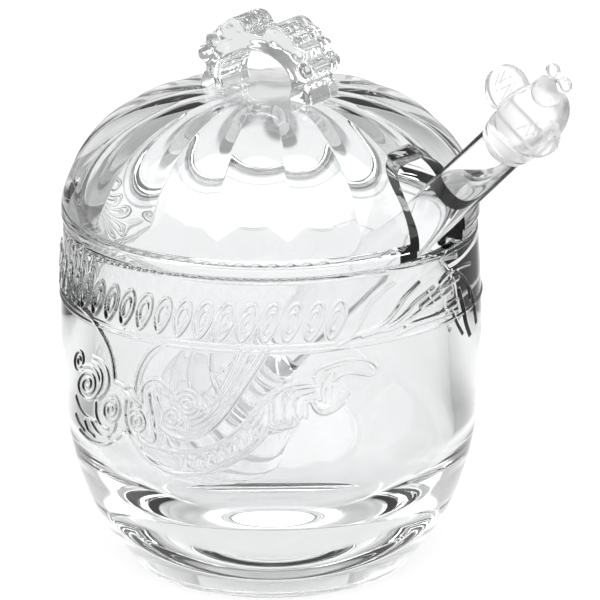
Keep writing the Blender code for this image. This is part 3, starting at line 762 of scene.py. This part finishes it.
def make_dipper():
    rows = [(0.0, HEAD_LENGTH), (SHAFT_RADIUS, HEAD_LENGTH)]
    middle = HEAD_LENGTH - COLLAR_LENGTH / 2
    rows += [(SHAFT_RADIUS, middle + COLLAR_HALF)]
    rows += arc(COLLAR_RADIUS - COLLAR_BEAD, middle, COLLAR_BEAD, 70, -70, 8)
    rows += [(SHAFT_RADIUS, middle - COLLAR_HALF)]
    stretch = HEAD_LENGTH - COLLAR_LENGTH
    pitch = stretch / HEAD_DISCS
    for disc in reversed(range(HEAD_DISCS)):
        top, bottom = (disc + 1 - SLOT_SHARE) * pitch, disc * pitch
        share = (top + bottom) / 2 / stretch
        swell = math.sin(math.pi * (0.22 + 0.66 * share)) ** 0.8
        radius = HEAD_END_RADIUS + (HEAD_RADIUS - HEAD_END_RADIUS) * (2 * swell - 1)
        half = (top - bottom) / 2
        rows += [(HEAD_CORE + 0.4, top + pitch * SLOT_SHARE), (HEAD_CORE, top + pitch * SLOT_SHARE - 0.4)]
        rows += [(HEAD_CORE, top + 0.6), (HEAD_CORE + 0.5, top)]
        rows += arc(radius - half, bottom + half, half, 90, -90, 8)
    rows.append((0.0, 0.0))
    finished(lathe("head_acrylic", rows, ROD_STEPS), dipper_frame(0), "dipper_head", ACRYLIC)
    length = DIPPER_LENGTH - HEAD_LENGTH - JOINT_GAP
    edge = SHAFT_EDGE
    rows = [(0.0, length)] + arc(SHAFT_RADIUS - edge, length - edge, edge, 90, 0, 3)
    rows += arc(SHAFT_RADIUS - edge, edge, edge, 0, -90, 3) + [(0.0, 0.0)]
    place = dipper_frame(HEAD_LENGTH + JOINT_GAP)
    finished(lathe("shaft_acrylic", rows, ROD_STEPS), place, "dipper_shaft", ACRYLIC)


def barrel_radius(z):
    if z < BARREL_HEIGHT:
        return BARREL_RADIUS - (BARREL_RADIUS - NECK_RADIUS) * (1 - z / BARREL_HEIGHT) ** 2
    share = (z - BARREL_HEIGHT) / (BEE_LENGTH - BARREL_HEIGHT)
    return BARREL_RADIUS * max(1 - share**BARREL_POWER, 0.0) ** 0.5


def barrel_rows(grow, rings):
    rows = [(0.0, BEE_LENGTH + grow)]
    for angle in range(4, 91, 4):
        z = BARREL_HEIGHT + (BEE_LENGTH - BARREL_HEIGHT) * math.cos(math.radians(angle))
        rows.append((barrel_radius(z) + grow, z + grow * math.cos(math.radians(angle))))
    for z in spaced(BARREL_HEIGHT, JOINT_GAP, 0.1)[1:]:
        dips = [RING_DEPTH * max(0.0, 1 - (abs(z - ring) / RING_HALF) ** 2) for ring in rings]
        dip = max([0.0] + dips)
        rows.append((barrel_radius(z) + grow - dip, z))
    return rows + [(0.0, JOINT_GAP)]


def ball(name, place, radius):
    rows = [(0.0, radius)] + arc(0, 0, radius, 87, -87, 58) + [(0.0, -radius)]
    obj = lathe(name, rows, BALL_STEPS)
    obj.data.transform(Matrix.Translation(place * MM))
    return obj


def coin(name, radius, thickness):
    """A disc with rounded edges, its faces square to X."""
    edge = COIN_EDGE
    rows = [(0.0, thickness / 2)] + arc(radius - edge, thickness / 2 - edge, edge, 90, 0, 5)
    rows += arc(radius - edge, edge - thickness / 2, edge, 0, -90, 5) + [(0.0, -thickness / 2)]
    obj = lathe(name, rows, BALL_STEPS)
    obj.data.transform(Matrix.Rotation(math.radians(90), 4, "Y"))
    return obj


def wing_veins(side):
    """Zigzag marks on a wing, as (across, along) from its centre."""
    marks = (
        ((-3.4, -2.6), (-2.2, 1.6), (-1.0, -2.0), (0.2, 2.6), (1.4, -1.8)),
        ((2.0, 2.4), (2.6, -1.2), (3.8, 1.8)),
    )
    beads = []
    for mark in marks:
        for face in (-WING_THICKNESS / 2, WING_THICKNESS / 2):
            beads.append(tube([(face, side * y, z) for y, z in mark], VEIN_RADIUS))
    return beads


def make_bee():
    bee = dipper_frame(DIPPER_LENGTH)
    body = lathe("bee_barrel", barrel_rows(0.0, RINGS), ROD_STEPS)
    cut_with(body, ball("socket", BEE_HEAD, BEE_HEAD_RADIUS + 0.1))
    finished(body, bee, "bee_body", FROSTED)
    head = ball("bee_ball", BEE_HEAD, BEE_HEAD_RADIUS)
    eyes = []
    for y in (-EYE_SPREAD, EYE_SPREAD):
        x = -math.sqrt(BEE_HEAD_RADIUS**2 - y**2) + EYE_SINK
        eyes.append(ball("eye", BEE_HEAD + Vector((x, y, EYE_RISE)), EYE_RADIUS))
    cut_with(head, *eyes, operation="UNION")
    finished(head, bee, "bee_head", FROSTED)
    for side, word in ((1, "left"), (-1, "right")):
        wing = coin("wing_" + word, WING_RADIUS, WING_THICKNESS)
        place = Matrix.Translation((WING_PLACE + Vector((0, side * WING_SPREAD, 0))) * MM)
        wing.data.transform(place)
        cut_with(wing, lathe("barrel", barrel_rows(0.1, ()), ROD_STEPS))
        veins = wing_veins(side)
        for vein in veins:
            vein.transform(place)
        finished(joined(wing, veins), bee, "bee_wing_" + word, FROSTED)
        antenna = coin("antenna_" + word, ANTENNA_RADIUS, ANTENNA_RADIUS)
        lean = math.radians(ANTENNA_LEAN + ANTENNA_SPREAD * side)
        reach = BEE_HEAD_RADIUS + ANTENNA_RADIUS - ANTENNA_SINK
        place = BEE_HEAD + reach * Vector((0, math.sin(lean), math.cos(lean)))
        turn = Matrix.Rotation(math.radians(-ANTENNA_TURN * side), 4, "Z")
        antenna.data.transform(Matrix.Translation(place * MM) @ turn)
        cut_with(antenna, ball("socket", BEE_HEAD, BEE_HEAD_RADIUS + 0.05))
        finished(antenna, bee, "bee_antenna_" + word, FROSTED)


def linked(tree, node, **inputs):
    """Sets a node's inputs, i0 being the first, from numbers or from other nodes' outputs."""
    for key, value in inputs.items():
        socket = node.inputs[int(key[1:])]
        if isinstance(value, bpy.types.NodeSocket):
            tree.links.new(value, socket)
        else:
            socket.default_value = value
    return node.outputs[0]


def maths(tree, operation, a, b=0.0):
    node = tree.nodes.new("ShaderNodeMath")
    node.operation = operation
    return linked(tree, node, i0=a, i1=b)


def eased(tree, value, low, high, at_low, at_high):
    """A smooth change from at_low to at_high as the value runs from low to high."""
    node = tree.nodes.new("ShaderNodeMapRange")
    node.interpolation_type = "SMOOTHSTEP"
    return linked(tree, node, i0=value, i1=low, i2=high, i3=at_low, i4=at_high)


def dotted(tree, vector, direction):
    node = tree.nodes.new("ShaderNodeVectorMath")
    node.operation = "DOT_PRODUCT"
    linked(tree, node, i0=vector, i1=direction)
    return node.outputs["Value"]


def make_floor():
    """A pale table whose emission paints a pool of light: a glowing white field under and behind the pot,
    which falls off to grey at the sides.
    """
    bpy.ops.mesh.primitive_plane_add(size=FLOOR_SIZE, location=(0, 0, -FLOOR_DROP))
    floor = bpy.context.object
    floor.name = "floor"
    # The floor's material paints light with its emission, on top of a dark diffuse base
    material = bpy.data.materials.new("floor_painted_glow")
    material.use_nodes = True
    tree = material.node_tree
    shader = tree.nodes["Principled BSDF"]
    shader.inputs["Base Color"].default_value = (0.16, 0.16, 0.16, 1)
    shader.inputs["Roughness"].default_value = 1.0
    shader.inputs["Specular IOR Level"].default_value = 0.0
    shader.inputs["Emission Color"].default_value = (1, 1, 1, 1)
    place = tree.nodes.new("ShaderNodeTexCoord").outputs["Object"]
    side = maths(tree, "ABSOLUTE", dotted(tree, place, (1, 0, 0)))
    behind = maths(tree, "ABSOLUTE", maths(tree, "SUBTRACT", dotted(tree, place, (0, 1, 0)), GLOW_FIELD_MIDDLE))
    glow = maths(tree, "MULTIPLY", eased(tree, side, *GLOW_FIELD_ACROSS), eased(tree, behind, *GLOW_FIELD_ALONG))
    glow = maths(tree, "MULTIPLY", glow, FLOOR_GLOW)
    # Painted light: the emission glows in a field under and behind the pot and fades to grey at the sides
    tree.links.new(glow, shader.inputs["Emission Strength"])
    floor.data.materials.append(material)


def window(tree, direction, turn, lift, half_width, half_height, edge, level):
    """Light from a soft-edged box in the sky. turn is from -Y towards +X and lift is up, both in degrees."""
    a, e = math.radians(turn), math.radians(lift)
    centre = Vector((math.sin(a) * math.cos(e), -math.cos(a) * math.cos(e), math.sin(e)))
    across = Vector((math.cos(a), math.sin(a), 0))
    up = across.cross(centre) * -1
    depth = dotted(tree, direction, centre)
    mask = eased(tree, depth, 0.02, 0.05, 0.0, level)
    for axis, half in ((across, half_width), (up, half_height)):
        away = maths(tree, "ABSOLUTE", maths(tree, "DIVIDE", dotted(tree, direction, axis), depth))
        mask = maths(tree, "MULTIPLY", mask, eased(tree, away, half - edge, half + edge, 1.0, 0.0))
    return mask


def make_world():
    """A dim studio with a large softbox overhead in front, a pale backdrop behind and strips at the sides."""
    world = bpy.data.worlds.new("studio")
    bpy.context.scene.world = world
    world.use_nodes = True
    tree = world.node_tree
    background = tree.nodes["Background"]
    direction = tree.nodes.new("ShaderNodeTexCoord").outputs["Generated"]
    height = dotted(tree, direction, (0, 0, 1))
    back = dotted(tree, direction, (0, 1, 0))
    level = eased(tree, height, *SKY)
    backdrop = maths(tree, "MULTIPLY", eased(tree, back, *BACKDROP_TURN), eased(tree, height, *BACKDROP_RISE))
    sides = eased(tree, maths(tree, "ABSOLUTE", dotted(tree, direction, (1, 0, 0))), *SKY_SIDES)
    level = maths(tree, "ADD", maths(tree, "ADD", level, backdrop), sides)
    for box in SOFTBOXES:
        level = maths(tree, "ADD", level, window(tree, direction, *box))
    tree.links.new(level, background.inputs["Strength"])
    background.inputs["Color"].default_value = (1, 1, 1, 1)


def make_camera():
    data = bpy.data.cameras.new("camera")
    camera = bpy.data.objects.new("camera", data)
    bpy.context.scene.collection.objects.link(camera)
    forward = Vector((0, math.cos(VIEW_TILT), -math.sin(VIEW_TILT)))
    place = Vector((0, 0, VIEW_HEIGHT)) - VIEW_DISTANCE * forward
    turn = Matrix.Rotation(math.pi / 2 - VIEW_TILT, 4, "X") @ Matrix.Rotation(-VIEW_ROLL, 4, "Z")
    camera.matrix_world = Matrix.Translation(place * MM) @ turn
    data.sensor_width = 36
    data.lens = VIEW_SCALE * VIEW_DISTANCE * data.sensor_width / PICTURE
    x, y = VIEW_CENTRE[0] - PICTURE / 2, VIEW_CENTRE[1] - PICTURE / 2
    data.shift_x = -(x * math.cos(VIEW_ROLL) + y * math.sin(VIEW_ROLL)) / PICTURE
    data.shift_y = (y * math.cos(VIEW_ROLL) - x * math.sin(VIEW_ROLL)) / PICTURE
    data.clip_end = 50
    bpy.context.scene.camera = camera


make_camera()
make_jar()
make_lid()
make_handle()
make_dipper()
make_bee()
make_floor()
make_world()

scene = bpy.context.scene
scene.cycles.max_bounces = 24
scene.cycles.transmission_bounces = 24
scene.cycles.glossy_bounces = 8
scene.view_settings.view_transform = "Standard"
scene.view_settings.look = "None"
